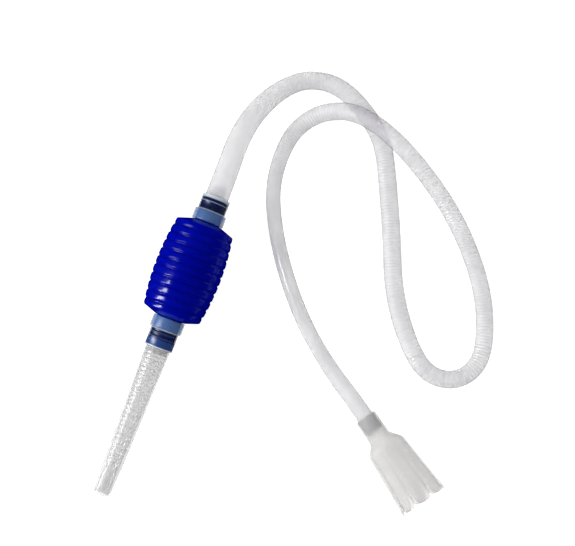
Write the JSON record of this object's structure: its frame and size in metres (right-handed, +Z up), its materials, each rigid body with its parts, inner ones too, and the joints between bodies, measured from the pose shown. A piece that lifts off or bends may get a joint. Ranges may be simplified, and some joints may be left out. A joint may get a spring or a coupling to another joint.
{
  "type": "gravel vacuum siphon",
  "caption": "Hand siphon for aquarium gravel: ribbed squeeze bulb with check valves in its necks, tapered ribbed tail tube, long looped hose and a slotted strainer head.",
  "frame": {"origin": "on the floor, under the middle of the pump (bulb, couplings and tail tube), the hose and its strainer head not counted", "axes": "+Z up; +Y along the pump, from the tip of the tail tube towards the hose; +X to the right of +Y, the side on which the hose lies"},
  "size_m": [0.3483, 0.4905, 0.0711],
  "materials": {
    "bulb_blue": "glossy moulded soft plastic",
    "coupling_clear": "clear moulded plastic",
    "seal_rubber": "smooth rubber",
    "flap_rubber": "smooth rubber",
    "valve_plastic": "moulded plastic",
    "tail_milky": "translucent moulded plastic",
    "hose_milky": "translucent corrugated hose",
    "sleeve_clear": "translucent soft sleeve",
    "head_milky": "translucent moulded plastic"
  },
  "bodies": {
    "pump": {"bulb": "bulb_blue", "inlet_coupling": "coupling_clear", "inlet_spigot": "coupling_clear", "inlet_seal_ring_inner": "seal_rubber", "inlet_seal_ring_outer": "seal_rubber", "inlet_valve_seat": "valve_plastic", "inlet_valve_cage": "valve_plastic", "hose": "hose_milky"},
    "outlet_end": {"outlet_coupling": "coupling_clear", "outlet_spigot": "coupling_clear", "outlet_seal_ring_inner": "seal_rubber", "outlet_seal_ring_outer": "seal_rubber", "outlet_valve_seat": "valve_plastic", "outlet_valve_cage": "valve_plastic", "tail_tube": "tail_milky"},
    "inlet_valve": {"inlet_valve_flap": "flap_rubber", "inlet_valve_pin": "valve_plastic"},
    "outlet_valve": {"outlet_valve_flap": "flap_rubber", "outlet_valve_pin": "valve_plastic"},
    "sleeve": {"head_sleeve": "sleeve_clear"},
    "strainer": {"strainer_head": "head_milky"}
  },
  "joints": [
    {"name": "bulb_squeeze", "type": "slide", "parent": "pump", "child": "outlet_end", "axis": [0, 0.9934, 0.115], "range_m": [0, 0.015], "stiffness_N_per_m": 2000, "deforming": ["bulb"]},
    {"name": "inlet_valve_lift", "type": "slide", "parent": "pump", "child": "inlet_valve", "axis": [0, -0.9934, -0.115], "range_m": [0, 0.0025]},
    {"name": "outlet_valve_lift", "type": "slide", "parent": "outlet_end", "child": "outlet_valve", "axis": [0, -0.9934, -0.115], "range_m": [0, 0.0025]},
    {"name": "strainer_turn", "type": "hinge", "parent": "pump", "child": "sleeve", "pos_m": [0.2179, 0.007, 0.01718], "axis": [0.8189, -0.5691, 0.0746], "range_deg": [-180, 180]},
    {"name": "strainer_pull", "type": "slide", "parent": "sleeve", "child": "strainer", "axis": [0.8189, -0.5691, 0.0746], "range_m": [0, 0.02]}
  ]
}
